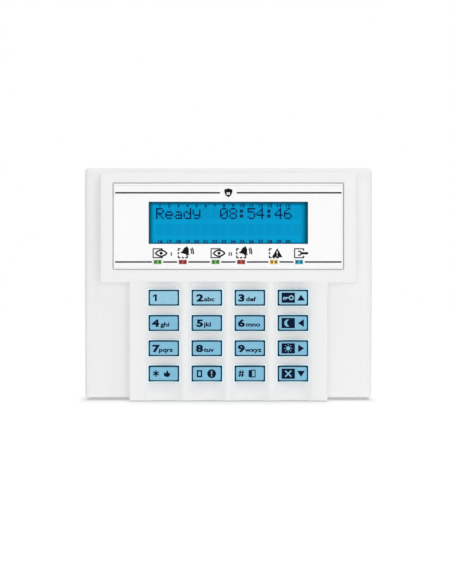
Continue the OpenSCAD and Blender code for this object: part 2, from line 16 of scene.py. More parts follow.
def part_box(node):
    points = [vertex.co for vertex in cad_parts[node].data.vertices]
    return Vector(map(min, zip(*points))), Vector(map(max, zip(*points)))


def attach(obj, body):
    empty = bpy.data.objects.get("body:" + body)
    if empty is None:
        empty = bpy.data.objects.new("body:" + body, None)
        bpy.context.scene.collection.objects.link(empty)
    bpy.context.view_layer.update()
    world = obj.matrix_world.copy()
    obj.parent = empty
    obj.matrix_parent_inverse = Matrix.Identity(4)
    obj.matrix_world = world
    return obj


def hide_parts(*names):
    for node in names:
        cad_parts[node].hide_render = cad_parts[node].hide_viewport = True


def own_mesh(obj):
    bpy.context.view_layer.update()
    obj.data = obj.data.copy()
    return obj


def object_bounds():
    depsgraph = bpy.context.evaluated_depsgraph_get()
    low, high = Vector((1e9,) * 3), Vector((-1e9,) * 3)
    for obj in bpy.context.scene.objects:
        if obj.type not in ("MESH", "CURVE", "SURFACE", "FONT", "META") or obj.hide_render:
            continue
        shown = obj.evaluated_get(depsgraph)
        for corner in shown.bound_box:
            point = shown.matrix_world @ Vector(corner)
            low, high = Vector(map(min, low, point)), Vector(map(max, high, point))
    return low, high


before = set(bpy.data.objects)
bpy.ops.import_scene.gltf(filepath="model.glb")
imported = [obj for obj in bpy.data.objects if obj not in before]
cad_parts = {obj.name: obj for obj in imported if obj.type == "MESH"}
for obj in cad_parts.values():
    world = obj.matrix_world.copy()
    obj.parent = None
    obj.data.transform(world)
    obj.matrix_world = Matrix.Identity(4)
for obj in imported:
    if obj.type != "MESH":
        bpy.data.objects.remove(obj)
cad_low, cad_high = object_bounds()
MM = 0.001
print("overall size in mm", [round(v / MM, 1) for v in cad_high - cad_low])

# %% [markdown]
# ## Tools for node trees
#
# A shader is easier to read as a sum than as a web of wires. `Num` wraps one number socket and
# gives it Python's operators, each of which adds a Math node. `Tree.node` makes any other node:
# its settings are set first, because some of them change which sockets there are.

# %% Expressions on sockets
class Num:
    """A number socket. An expression on it adds the Math nodes that work it out."""

    def __init__(self, tree, socket):
        self.tree, self.socket = tree, socket

    def math(self, operation, *others):
        values = dict(enumerate([self, *others]))
        return self.tree.num("ShaderNodeMath", {"operation": operation}, values)

    def __add__(self, other): return self.math("ADD", other)
    def __sub__(self, other): return self.math("SUBTRACT", other)
    def __mul__(self, other): return self.math("MULTIPLY", other)
    def __pow__(self, other): return self.math("POWER", other)
    def __lt__(self, other): return self.math("LESS_THAN", other)
    def __abs__(self): return self.math("ABSOLUTE")
    def __rsub__(self, other): return self.math("MULTIPLY_ADD", -1.0, other)
    __radd__, __rmul__ = __add__, __mul__

    def most(self, other): return self.math("MAXIMUM", other)
    def least(self, other): return self.math("MINIMUM", other)
    def wrap(self, step): return self.math("FLOORED_MODULO", step)
    def ramp(self, low, high):
        """0 at low, 1 at high, and smooth between."""
        settings = {"interpolation_type": "SMOOTHSTEP"}
        values = {"Value": self, "From Min": low, "From Max": high}
        return self.tree.num("ShaderNodeMapRange", settings, values)


class Tree:
    """Adds nodes to a shader tree or a geometry tree."""

    def __init__(self, tree):
        self.tree = tree

    def node(self, kind, settings=None, values=None):
        made = self.tree.nodes.new(kind)
        for key, value in (settings or {}).items():
            setattr(made, key, value)
        for key, value in (values or {}).items():
            value = getattr(value, "socket", value)
            if isinstance(value, bpy.types.NodeSocket):
                self.tree.links.new(value, made.inputs[key])
            else:
                made.inputs[key].default_value = value
        return made

    def num(self, kind, settings=None, values=None, output=0):
        return Num(self, self.node(kind, settings, values).outputs[output])

# %% [markdown]
# ## A finish
#
# Every surface starts from one Principled shader. `Finish` keeps the things that all finishes
# share: the place on the piece in metres, cell noise and soft noise at a scale given in
# millimetres, a mix of two colours, and a bump whose height is a real height.

# %% The finish class
class Finish(Tree):
    """One material with a Principled shader."""

    def __init__(self, name, colour=(0.8, 0.8, 0.8), roughness=0.5, metal=0.0, **fixed):
        self.material = bpy.data.materials.new(name)
        self.material.use_nodes = True
        super().__init__(self.material.node_tree)
        self.shader = self.tree.nodes["Principled BSDF"]
        self.feed("Base Color", (*colour, 1.0))
        self.feed("Roughness", roughness)
        self.feed("Metallic", metal)
        for key, value in fixed.items():
            self.feed(key.replace("_", " "), value)
        self.spot = self.node("ShaderNodeTexCoord").outputs["Object"]

    def feed(self, name, value):
        value = getattr(value, "socket", value)
        if isinstance(value, bpy.types.NodeSocket):
            self.tree.links.new(value, self.shader.inputs[name])
        else:
            self.shader.inputs[name].default_value = value

    def place(self):
        parts = self.node("ShaderNodeSeparateXYZ", None, {0: self.spot})
        return [Num(self, out) for out in parts.outputs]

    def noise(self, size, detail=2.0, stretch=(1, 1, 1)):
        """Soft noise between 0 and 1, with lumps of about that size."""
        where = self.node("ShaderNodeMapping", None, {"Vector": self.spot, "Scale": stretch})
        values = {"Vector": where.outputs[0], "Scale": 1 / size, "Detail": detail}
        return self.num("ShaderNodeTexNoise", None, values)

    def cells(self, size):
        """Square-cornered cells of about that size."""
        values = {"Vector": self.spot, "Scale": 1 / size, "Randomness": 0.85}
        return self.num("ShaderNodeTexVoronoi", {"distance": "MANHATTAN"}, values)

    def mix(self, low, high, share):
        """A colour between low and high."""
        low, high = [c if hasattr(c, "socket") else (*c, 1.0)[:4] for c in (low, high)]
        values = {0: share, 6: low, 7: high}
        return self.num("ShaderNodeMix", {"data_type": "RGBA"}, values, output=2)

    def bump(self, height, depth, strength=1.0):
        """Height between 0 and 1 stands for this many metres."""
        values = {"Height": height, "Distance": depth, "Strength": strength}
        self.feed("Normal", self.num("ShaderNodeBump", None, values))

# %% [markdown]
# ## Sizes taken from the frame
#
# The frame knows where each part lies, but a pattern such as the painted glow of the keys' light round the
# openings needs a few of those places as numbers. They are measured here once: the rows and columns of keys,
# the label's face, the display window and the indicators.

# %% Measure the frame
KEY_ROWS = [["key_1", "key_2", "key_3", "key_up"], ["key_4", "key_5", "key_6", "key_left"],
            ["key_7", "key_8", "key_9", "key_right"], ["key_star", "key_0", "key_hash", "key_down"]]
KEYS = [name for row in KEY_ROWS for name in row]


def middle(node):
    low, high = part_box(node)
    return (low + high) / 2


def front(node):
    """How far in front of the wall a node's front face lies."""
    return -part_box(node)[0].y


# the keys: their pitch, the cap inside the hidden flange, and the gap round the cap
pitch_x = middle("key_2").x - middle("key_1").x
pitch_z = middle("key_1").z - middle("key_4").z
flange_low, flange_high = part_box("key_1")
FLANGE = 1.1 * MM
cap_w = flange_high.x - flange_low.x - 2 * FLANGE
cap_h = flange_high.z - flange_low.z - 2 * FLANGE
KEY_GAP = 0.5 * MM
key_front = front("key_1")
# the label, the part of the window that it leaves open, and the row of indicators
label_low, label_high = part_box("display_label")
label_front = front("display_label")
window_low, window_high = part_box("display_window")
WINDOW_LAP = 0.45 * MM
view_low = window_low + Vector((WINDOW_LAP, 0, WINDOW_LAP))
view_high = window_high - Vector((WINDOW_LAP, 0, WINDOW_LAP))
view_mid = (view_low + view_high) / 2
guide_z = middle("light_guides").z
WING_FRONT = 16.6 * MM
print("key caps", round(cap_w / MM, 2), "by", round(cap_h / MM, 2))
print("pitch", round(pitch_x / MM, 2), "by", round(pitch_z / MM, 2))

# %% [markdown]
# ## The white moulding
#
# The housing is injection-moulded in white plastic from a spark-eroded tool, which leaves a fine, dull grain.
# The grain could be an image; noise with lumps of a quarter of a millimetre gives it without a seam. The same
# shader also paints light and shade round the keys: painted shade, tinted dark blue-green, on the walls of each
# opening, and a faint painted glow of the keys' light on the rim.

# %% White plastic
def key_distance(x, z):
    """How far a point lies outside the nearest key opening, and 1 inside the block of keys."""
    half_w, half_h = cap_w / 2 + KEY_GAP, cap_h / 2 + KEY_GAP
    low_row = middle("key_star").z
    across = abs((x + 2 * pitch_x).wrap(pitch_x) - pitch_x / 2) - half_w
    up = abs((z - low_row + pitch_z / 2).wrap(pitch_z) - pitch_z / 2) - half_h
    apart = (across.most(0.0) ** 2 + up.most(0.0) ** 2) ** 0.5
    row_mid = (middle("key_1").z + low_row) / 2
    among = (abs(x) < 2 * pitch_x) * (abs(z - row_mid) < 2 * pitch_z)
    return apart, among


def white_moulding():
    paint = Finish("white_moulding", roughness=0.5, IOR=1.46)
    x, y, z = paint.place()
    grain = paint.noise(0.24 * MM, detail=3.0)
    broad = paint.noise(9 * MM, detail=1.0)
    white = paint.mix((0.885, 0.885, 0.888), (0.9, 0.899, 0.897), broad)
    apart, among = key_distance(x, z)
    raised = (0 - y).ramp(WING_FRONT + 0.3 * MM, WING_FRONT + 0.6 * MM)
    # painted shade, tinted dark blue-green by the keys' light, on the walls of each key opening
    inside = (1 - apart.ramp(0.01 * MM, 0.06 * MM)) * among * raised
    paint.feed("Base Color", paint.mix(white, (0.004, 0.035, 0.06), inside))
    # painted glow: the keys' light on the rim round each opening, given to the white plastic as emission
    glow = (1 - apart.ramp(0.0, 0.75 * MM)) ** 2 * (1 - inside) * among * raised
    paint.feed("Emission Color", paint.mix((0, 0, 0), (0.0, 0.42, 0.62), glow))
    paint.feed("Emission Strength", 0.85)
    paint.feed("Roughness", 0.46 + grain * 0.1)
    paint.bump(grain, 0.012 * MM, 0.5)
    return paint.material


WHITE = white_moulding()
print("made", WHITE.name)

# %% [markdown]
# ## Rounded mouldings
#
# A moulded edge is never sharp. The frame's own meshes are loose triangles, so the shape is
# copied, its doubles are merged, its flat regions are joined back into single faces, and a
# Bevel modifier then rounds every edge that turns by more than a set angle. Rounding only takes
# material away, so the piece stays inside the frame's box.

# %% Copy a node and round its edges
def retouch(obj, material, smooth_angle=40):
    obj.data.materials.clear()
    obj.data.materials.append(material)
    obj.data.polygons.foreach_set("use_smooth", [True] * len(obj.data.polygons))
    obj.data.set_sharp_from_angle(angle=math.radians(smooth_angle))
    return obj


def add_object(name, mesh):
    obj = bpy.data.objects.new(name, mesh)
    bpy.context.scene.collection.objects.link(obj)
    return obj


def applied(obj, name):
    """Turns the evaluated object into a plain mesh object and removes the first one."""
    graph = bpy.context.evaluated_depsgraph_get()
    mesh = bpy.data.meshes.new_from_object(obj.evaluated_get(graph))
    bpy.data.objects.remove(obj)
    mesh.name = name
    return add_object(name, mesh)


def rounded_copy(node, name, width, material, segments=3, turn=50, flat=1.5):
    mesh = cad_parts[node].data.copy()
    shape = bmesh.new()
    shape.from_mesh(mesh)
    bmesh.ops.remove_doubles(shape, verts=shape.verts, dist=0.001 * MM)
    bmesh.ops.dissolve_limit(shape, angle_limit=math.radians(flat), verts=shape.verts, edges=shape.edges)
    shape.to_mesh(mesh)
    shape.free()
    obj = add_object(name, mesh)
    bevel = obj.modifiers.new("round", "BEVEL")
    bevel.width, bevel.segments = width, segments
    bevel.limit_method, bevel.angle_limit = "ANGLE", math.radians(turn)
    bevel.use_clamp_overlap = True
    obj = applied(obj, name)
    retouch(obj, material)
    print(name, len(obj.data.polygons), "faces")
    return obj


cover = rounded_copy("front_cover", "cover_shell", 0.22 * MM, WHITE)
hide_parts("front_cover")
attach(cover, "front")

base = rounded_copy("rear_base", "base_shell", 0.2 * MM, WHITE)
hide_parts("rear_base")
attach(base, "base")

# %% [markdown]
# ## Printing
#
# The label and the keys carry printed lines, signs and figures. Ink is a very thin film, so each
# print is real geometry two hundredths of a millimetre high. A filled shape is a flat curve
# with its holes as inner loops, a line is a round curve pressed flat, and letters come from the
# built-in font, made wider and heavier.

# %% The ink
INK = 0.02 * MM


class Ink:
    """Collects flat shapes, drawn in millimetres from one point, into one thin mesh."""

    def __init__(self, x, z, depth):
        self.at, self.depth, self.shape = (x, z), depth, bmesh.new()

    def press(self, data, thick, turn=0.0, flatten=1.0, x=0.0, z=0.0, stretch=1.0):
        obj = add_object("ink", data)
        graph = bpy.context.evaluated_depsgraph_get()
        mesh = bpy.data.meshes.new_from_object(obj.evaluated_get(graph))
        bpy.data.objects.remove(obj)
        upright = Matrix.Rotation(math.pi / 2, 4, "X")
        size = Matrix.Diagonal((MM * stretch, MM, MM * flatten, 1))
        spin = Matrix.Rotation(turn, 4, "Z")
        move = Matrix.Translation((self.at[0] + x * MM, -self.depth - thick, self.at[1] + z * MM))
        mesh.transform(move @ upright @ size @ spin)
        self.shape.from_mesh(mesh)
        bpy.data.meshes.remove(mesh)

    def curve(self, loops, cyclic):
        data = bpy.data.curves.new("ink", "CURVE")
        for loop in loops:
            line = data.splines.new("POLY")
            line.points.add(len(loop) - 1)
            for point, (x, z) in zip(line.points, loop):
                point.co = (x, z, 0, 1)
            line.use_cyclic_u = cyclic
        return data

    def fill(self, *loops):
        """A flat shape with a straight outline. Inner loops are holes."""
        data = self.curve(loops, True)
        data.dimensions, data.fill_mode, data.extrude = "2D", "BOTH", INK / MM / 2
        self.press(data, INK / 2)

    def line(self, points, width, closed=False):
        data = self.curve([points], closed)
        data.dimensions, data.bevel_depth, data.bevel_resolution = "3D", width / 2, 1
        data.use_fill_caps = True
        self.press(data, 0, flatten=INK / MM / (width / 2))

    def disc(self, x, z, r):
        self.fill(ring(x, z, r))

    def text(self, words, x, z, size, heavy=0.0, stretch=1.0, align="LEFT"):
        data = bpy.data.curves.new("ink", "FONT")
        data.body, data.size, data.offset = words, size, heavy
        data.align_x, data.align_y, data.extrude = align, "BOTTOM_BASELINE", INK / MM / 2
        data.resolution_u = 3
        self.press(data, INK / 2, x=x, z=z, stretch=stretch)

    def made(self, name, material):
        bmesh.ops.remove_doubles(self.shape, verts=self.shape.verts, dist=0.0005 * MM)
        bmesh.ops.recalc_face_normals(self.shape, faces=self.shape.faces)
        mesh = bpy.data.meshes.new(name)
        self.shape.to_mesh(mesh)
        self.shape.free()
        mesh.materials.append(material)
        return add_object(name, mesh)


def ring(x, z, r, start=0.0, turn=360.0, steps=24):
    """Points on a circle or an arc, in degrees from the right."""
    stops = steps if turn >= 360 else steps + 1
    angles = [math.radians(start + turn * i / steps) for i in range(stops)]
    return [(x + r * math.cos(a), z + r * math.sin(a)) for a in angles]


def box_loop(x0, z0, x1, z1):
    return [(x0, z0), (x1, z0), (x1, z1), (x0, z1)]

# %% [markdown]
# ## Ink
#
# Screen-printed ink is almost black but never even: the mesh of the screen leaves lighter specks
# a tenth of a millimetre wide. Its reflection is kept weak, because the white surround would
# otherwise turn thin lines grey.

# %% Ink finish
def printed_ink(name, colour):
    paint = Finish(name, colour, 0.55, IOR=1.12)
    speck = paint.noise(0.08 * MM, detail=1.0)
    pale = tuple(min(1.0, c * 1.6 + 0.01) for c in colour)
    paint.feed("Base Color", paint.mix(colour, pale, speck.ramp(0.45, 0.75)))
    paint.feed("Roughness", 0.45 + speck * 0.2)
    return paint.material


BLACK_INK = printed_ink("black_ink", (0.006, 0.006, 0.007))
NAVY_INK = printed_ink("navy_ink", (0.0005, 0.006, 0.03))
print("inks", BLACK_INK.name, NAVY_INK.name)

# %% [markdown]
# ## The display label
#
# The label is a sheet of satin polyester, printed white with thin black lines and six signs over the
# indicators. It is cut out over the display and the indicators. The frame's own label already has those
# cut-outs, so it keeps its shape and only gets its finish. A grey line round its edge is painted shade in the
# gap between the label and its recess, and a faint grey line just below its top is the painted shadow of the
# recess's top wall; both are painted from the distance to the label's sides.

# %% Label film
def label_film():
    paint = Finish("label_film", roughness=0.38, IOR=1.5)
    x, y, z = paint.place()
    grain = paint.noise(0.12 * MM, detail=2.0)
    white = paint.mix((0.95, 0.95, 0.955), (0.975, 0.975, 0.98), paint.noise(5 * MM))
    # painted shade in the gap round the edge, and a painted shadow of the recess's top wall a little below the
    # top
    inset = (x - label_low.x).least(label_high.x - x).least(z - label_low.z).least(label_high.z - z)
    cut = 1 - inset.ramp(0.12 * MM, 0.34 * MM)
    start = 1 - abs(label_high.z - 0.95 * MM - z).ramp(0.05 * MM, 0.2 * MM)
    paint.feed("Base Color", paint.mix(white, (0.4, 0.4, 0.41), cut.most(start * 0.3)))
    paint.feed("Roughness", 0.34 + grain * 0.1)
    paint.bump(grain, 0.004 * MM, 0.4)
    return paint.material


label = retouch(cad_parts["display_label"], label_film())
print("finished", label.name)

# %% [markdown]
# ## The signs on the label
#
# Over the indicators stand signs for "armed", "alarm", "trouble" and "service", drawn as open
# or dashed squares with an eye, a bell, a warning triangle and a wrench. Each is a short function
# that draws round the middle of its square, so that the two zones share the same code.

# %% Sign shapes
SQUARE, THIN = 3.4, 0.6  # the side of a sign's square, and the width of its lines, in millimetres


def open_square(ink, x, z, gap=0.34):
    """Three sides of a square and the two ends of the fourth, which faces right."""
    h = SQUARE / 2
    end = h * (1 - gap)
    corners = [(h, end), (h, h), (-h, h), (-h, -h), (h, -h), (h, -end)]
    ink.line([(x + a, z + b) for a, b in corners], THIN)


def dashed_square(ink, x, z):
    """Three corners and the middles of two sides, which leaves room for a sign on it."""
    h, mark = SQUARE / 2, SQUARE / 4.2
    for sx in (-1, 1):
        for sz in (-1, 1):
            if sx > 0 and sz > 0:
                continue
            corner = (x + sx * h, z + sz * h)
            ink.line([(corner[0] - sx * mark, corner[1]), corner, (corner[0], corner[1] - sz * mark)], THIN)
    ink.line([(x - h, z - mark / 2), (x - h, z + mark / 2)], THIN)
    ink.line([(x - mark / 2, z - h), (x + mark / 2, z - h)], THIN)


def eye(ink, x, z):
    half, bow = 2.2, 1.15
    lid = [(half * t, bow * (1 - t * t)) for t in [i / 6 - 1 for i in range(13)]]
    rim = [(x + a, z + b) for a, b in lid] + [(x - a, z - b) for a, b in lid[1:-1]]
    ink.line(rim, THIN, closed=True)
    ink.disc(x, z, 0.6)


def bell(ink, x, z, lean=-0.28):
    """A leaning bell with a knob, a clapper and two sound waves."""
    side = [(0.35, 1.55), (0.95, 0.95), (1.15, 0.1), (1.35, -0.65), (1.95, -1.2)]
    outline = [(-a, b) for a, b in reversed(side)] + side
    cos, sin = math.cos(lean), math.sin(lean)
    ink.fill([(x + a * cos - b * sin, z + a * sin + b * cos) for a, b in outline])
    ink.disc(x - 1.5 * sin, z - 1.42 * cos - 0.05, 0.36)
    ink.disc(x - 1.75 * sin, z + 1.75 * cos, 0.24)
    for r in (2.15, 2.8):
        ink.line(ring(x + 0.1, z - 0.4, r, -18, 56, 8), 0.48)


def warning(ink, x, z):
    """A filled triangle with the two parts of an exclamation mark cut out."""
    tall, half = 3.5, 2.05
    base = z - 1.65
    ink.fill([(x - half, base), (x + half, base), (x, base + tall)],
             [(x - 0.2, base + 2.35), (x + 0.2, base + 2.35), (x + 0.12, base + 1.1), (x - 0.12, base + 1.1)],
             box_loop(x - 0.18, base + 0.4, x + 0.18, base + 0.76))


def wrench(ink, x, z):
    ink.line(ring(x - 0.45, z, 0.75, -125, 250, 14), 0.55)
    ink.line([(x + 0.2, z), (x + 2.5, z)], 0.85)
    ink.disc(x + 2.5, z, 0.5)


def shield(ink, x, z):
    """A plain shield with a padlock cut out of it."""
    side = [(0, 1.75), (0.8, 1.45), (1.55, 1.3), (1.5, 0.2), (1.05, -0.9), (0, -1.75)]
    outline = side + [(-a, b) for a, b in reversed(side[1:-1])]
    body = box_loop(x - 0.6, z - 0.75, x + 0.6, z + 0.15)
    ink.fill([(x + a, z + b) for a, b in outline], body)
    ink.fill(box_loop(x - 0.09, z - 0.5, x + 0.09, z - 0.05))


print("signs drawn in squares of", SQUARE, "mm")

# %% [markdown]
# ## Printing the label
#
# Two lines run along the label. The upper one leaves room for the shield, and the lower one stops
# on either side of every indicator. The ends of its pieces are worked out from the indicators'
# places, so a line never runs over one.

# %% Print the label
INDICATOR_X = [-27.1, -17.45, -4.9, 4.9, 17.45, 27.1]
LINE_W, LINE_INSET = 0.56, 0.8
SHIELD_GAP, INDICATOR_GAP = 3.2, 2.15
print_ink = Ink(0.0, 0.0, label_front)
low_z = guide_z / MM
sign_z = low_z + 3.35
top_z = label_high.z / MM - 3.75
half_line = (label_high.x - label_low.x) / 2 / MM - LINE_INSET

shield(print_ink, 0.0, top_z)
for start, end in ((-half_line, -SHIELD_GAP), (SHIELD_GAP, half_line)):
    print_ink.fill(box_loop(start, top_z - LINE_W / 2, end, top_z + LINE_W / 2))
stops = [-half_line, *[x + s * INDICATOR_GAP for x in INDICATOR_X for s in (-1, 1)], half_line]
for start, end in zip(stops[::2], stops[1::2]):
    print_ink.fill(box_loop(start, low_z - LINE_W / 2, end, low_z + LINE_W / 2))

for zone, x in enumerate((INDICATOR_X[0], INDICATOR_X[2])):
    open_square(print_ink, x, sign_z)
    eye(print_ink, x + 1.35, sign_z)
    for i in range(zone + 1):
        stroke = x + 5.0 + 0.8 * i
        print_ink.fill(box_loop(stroke, sign_z - 1.0, stroke + 0.45, sign_z + 0.4))
for x in (INDICATOR_X[1], INDICATOR_X[3]):
    dashed_square(print_ink, x, sign_z)
    bell(print_ink, x + 1.15, sign_z + 0.85)
dashed_square(print_ink, INDICATOR_X[4], sign_z)
warning(print_ink, INDICATOR_X[4] + 1.25, sign_z + 0.1)
open_square(print_ink, INDICATOR_X[5], sign_z, gap=0.45)
wrench(print_ink, INDICATOR_X[5] + 0.5, sign_z)
label_print = print_ink.made("label_print", BLACK_INK)
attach(label_print, "front")
print("label print", len(label_print.data.polygons), "faces")

# %% [markdown]
# ## Growing what repeats
#
# Dots, solder joints and end caps repeat many times, so they are grown with Geometry Nodes: one
# shape is set on every point of a bare mesh. `grow` builds the tree, sets its inputs by name,
# and swaps the result for a plain mesh, because the frame only keeps plain meshes.

# %% Grow shapes on points
def grow(name, points, material, build, **inputs):
    """Sets the shape that build(tree, input) returns on every point, as one plain mesh."""
    mesh = bpy.data.meshes.new(name)
    mesh.from_pydata(points, [], [])
    obj = add_object(name, mesh)
    group = bpy.data.node_groups.new(name, "GeometryNodeTree")
    group.interface.new_socket("Geometry", in_out="OUTPUT", socket_type="NodeSocketGeometry")
    group.interface.new_socket("Geometry", in_out="INPUT", socket_type="NodeSocketGeometry")
    for key in inputs:
        group.interface.new_socket(key, in_out="INPUT", socket_type="NodeSocketFloat")
    tree = Tree(group)
    source = tree.node("NodeGroupInput")
    shape, scale = build(tree, {key: Num(tree, source.outputs[key]) for key in inputs})
    values = {"Points": source.outputs["Geometry"], "Instance": shape, "Scale": scale}
    placed = tree.node("GeometryNodeInstanceOnPoints", None, values)
    real = tree.node("GeometryNodeRealizeInstances", None, {0: placed.outputs[0]})
    painted = tree.node("GeometryNodeSetMaterial", None, {0: real.outputs[0], "Material": material})
    tree.node("NodeGroupOutput", None, {0: painted.outputs[0]})
    modifier = obj.modifiers.new("grow", "NODES")
    modifier.node_group = group
    for item in group.interface.items_tree:
        if item.in_out == "INPUT" and item.name in inputs:
            modifier[item.identifier] = float(inputs[item.name])
    obj = applied(obj, name)
    print(name, len(points), "points", len(obj.data.polygons), "faces")
    return obj


def uneven(tree, low, high, seed=7):
    """A random size for each point, the same at every run."""
    settings = {"data_type": "FLOAT"}
    return tree.node("FunctionNodeRandomValue", settings, {2: low, 3: high, "Seed": seed}).outputs[1]


def slab(tree, box):
    """A box with the width, thickness and height that come in as inputs."""
    sides = {0: box["Width"], 1: box["Thickness"], 2: box["Height"]}
    size = tree.node("ShaderNodeCombineXYZ", None, sides)
    return tree.node("GeometryNodeMeshCube", None, {"Size": size.outputs[0]}).outputs[0], (1, 1, 1)

# %% [markdown]
# ## The display
#
# Behind the window lies a liquid crystal cell on a blue backlight. The cell is lit from behind, so its colour
# is emission: an even blue that darkens towards the frame, most at the right and at the bottom. That darkening
# is partly the backlight's falloff and partly painted shade of the window's frame, and the base colour is also
# painted a little darker near the right edge. Unlit character cells show as slightly darker squares, which the
# shader repeats.

# %% The liquid crystal cell
COLUMNS, COLUMN_STEP = 16, 3.52 * MM
DOT = 0.62 * MM
text_rows = (view_mid.z + 3.71 * MM, view_mid.z - 2.45 * MM)
first_column = view_mid.x - (COLUMNS - 1) / 2 * COLUMN_STEP + 0.06 * MM


def display_cell():
    paint = Finish("lcd_cell", (0.002, 0.02, 0.03), 0.35, IOR=1.05)
    x, y, z = paint.place()
    left, right = x - view_low.x, view_high.x - x
    top, bottom = view_high.z - z, z - view_low.z
    # darker towards the frame: partly the backlight's falloff, partly painted shade of the frame
    edge = left.ramp(-0.1 * MM, 2.2 * MM) * right.ramp(0.0, 3.0 * MM)
    edge = edge * top.ramp(0.0, 1.8 * MM) * bottom.ramp(-0.2 * MM, 1.3 * MM)
    # painted shade: the base colour is darker near the window's right edge
    clear_of_right_shade = right.ramp(-0.3 * MM, 7 * MM) * 0.25 + 0.75
    lit = paint.mix((0.0005, 0.055, 0.09), (0.0008, 0.312, 0.575), edge)
    in_x = (abs((x - first_column + COLUMN_STEP / 2).wrap(COLUMN_STEP) - COLUMN_STEP / 2) < 2.5 * DOT)
    columns = (abs(x - view_mid.x) < 8 * COLUMN_STEP)
    in_z = (abs(z - text_rows[0]) < 3.5 * DOT) + (abs(z - text_rows[1]) < 3.5 * DOT)
    faint = in_x * columns * in_z
    paint.feed("Emission Color", paint.mix(lit, (0.0006, 0.25, 0.49), faint * edge * 0.55))
    paint.feed("Emission Strength", 1.0)
    paint.feed("Base Color", paint.mix((0.001, 0.01, 0.015), (0.002, 0.03, 0.05), clear_of_right_shade))
    return paint.material


retouch(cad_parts["lcd_glass"], display_cell())
print("text rows at", [round(z / MM, 2) for z in text_rows], "mm")

# %% [markdown]
# ## The clear window
#
# The window is a clear acrylic plate with a faint tint. A real one bends light and mirrors a
# little of the room. This one has the index of refraction of air, so it does neither and only
# tints: at 1.03 the display came out with white specks, and at 1.0 without them.

# %% The window
def clear_acrylic():
    paint = Finish("clear_window", roughness=0.0, IOR=1.0, Transmission_Weight=1.0)
    smear = paint.noise(7 * MM, detail=3.0)
    paint.feed("Base Color", paint.mix((0.88, 0.96, 1.0), (0.93, 0.98, 1.0), smear))
    return paint.material


window = retouch(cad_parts["display_window"], clear_acrylic())
print("finished", window.name)

# %% [markdown]
# ## Dot characters
#
# Each character is seven rows of five dots, written as strings so that its shape can be read in
# the script. The strings become points, and Geometry Nodes sets a small flat square on each one.

# %% Characters and their dots
GLYPHS = {
    "R": "####. #...# #...# ####. #.#.. #..#. #...#",
    "e": "..... ..... .###. #...# ##### #.... .###.",
    "a": "..... ..... .###. ....# .#### #...# .####",
    "d": "....# ....# .##.# #..## #...# #...# .####",
    "y": "..... #...# #...# #...# .#### ....# .###.",
    "0": ".###. #...# #..## #.#.# ##..# #...# .###.",
    "8": ".###. #...# #...# .###. #...# #...# .###.",
    "5": "##### #.... ####. ....# ....# #...# .###.",
    "4": "...#. ..##. .#.#. #..#. ##### ...#. ...#.",
    "6": "..##. .#... #.... ####. #...# #...# .###.",
    ":": "..... .##.. .##.. ..... .##.. .##.. .....",
}
cell_front = front("lcd_glass")


def dots(words, column, z):
    points = []
    for i, letter in enumerate(words):
        for row, line in enumerate(GLYPHS.get(letter, "").split()):
            for across, mark in enumerate(line):
                if mark == "#":
                    x = first_column + (column + i) * COLUMN_STEP + (across - 2) * DOT
                    points.append((x, -cell_front - 0.012 * MM, z + (3 - row) * DOT))
    return points


SEGMENT = printed_ink("lcd_segment", (0.0005, 0.012, 0.07))
message = dots("Ready", 0, text_rows[0]) + dots("08:54:46", 7, text_rows[0])
lcd_dots = grow("lcd_dots", message, SEGMENT, slab,
                Width=0.6 * MM, Thickness=0.02 * MM, Height=0.6 * MM)
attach(lcd_dots, "front")

# %% [markdown]
# ## Zone numbers
#
# Small numbers from 1 to 30 stand above and below the text, one over each character but the
# last. They are fixed segments of the display, so they lie on the same glass as the dots.

# %% Zone numbers
NUMBER_LOOK = (1.75, 0.06, 1.15, "CENTER")  # size, extra weight, extra width and alignment
numbers = Ink(0, 0, cell_front)
for i in range(COLUMNS - 1):
    x = (first_column + i * COLUMN_STEP) / MM
    numbers.text(str(i + 1), x, view_high.z / MM - 1.95, *NUMBER_LOOK)
    numbers.text(str(i + COLUMNS), x, view_low.z / MM + 0.45, *NUMBER_LOOK)
numbers = numbers.made("lcd_numbers", SEGMENT)
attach(numbers, "front")
print("zone numbers", len(numbers.data.polygons), "faces")

# %% [markdown]
# ## Indicators
#
# Six light guides carry the light of the chips on the board to the label. Two chips sit behind
# each guide, and their dark bodies show through its milky end as two squares with a bright
# middle. One shader picks the colour from the place along the row.

# %% Light guides
INDICATOR_COLOURS = {"green": (0.16, 0.42, 0.11), "red": (0.46, 0.055, 0.045),
                     "yellow": (0.8, 0.55, 0.12), "blue": (0.05, 0.4, 0.55)}
INDICATORS = list(zip(INDICATOR_X, ["green", "red", "green", "red", "yellow", "blue"]))


def indicator_colour(paint, x, reach):
    """The colour of the nearest indicator, black elsewhere, and the distance from its middle."""
    colour, along = (0.0, 0.0, 0.0), x * 0.0
    for place, name in INDICATORS:
        here = abs(x - place * MM) < reach
        colour = paint.mix(colour, INDICATOR_COLOURS[name], here)
        along = along + here * (x - place * MM)
    return colour, along


CHIP_APART = 0.78 * MM  # from the middle of a guide to the middle of each chip


def guide_end():
    paint = Finish("light_guide", roughness=0.3, IOR=1.3)
    x, y, z = paint.place()
    colour, along = indicator_colour(paint, x, 3 * MM)
    across, up = abs(abs(along) - CHIP_APART), abs(z - guide_z)
    chip = (1 - across.ramp(0.25 * MM, 0.62 * MM)) * (1 - up.ramp(0.25 * MM, 0.75 * MM))
    spot = (1 - across.ramp(0.02 * MM, 0.2 * MM)) * (1 - up.ramp(0.05 * MM, 0.25 * MM))
    dark = paint.mix(colour, (0.012, 0.014, 0.008), chip * (1 - spot * 0.7))
    paint.feed("Base Color", dark)
    paint.feed("Emission Color", dark)
    paint.feed("Emission Strength", 0.25)
    return paint.material


retouch(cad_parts["light_guides"], guide_end())
print("indicators", [name for place, name in INDICATORS])
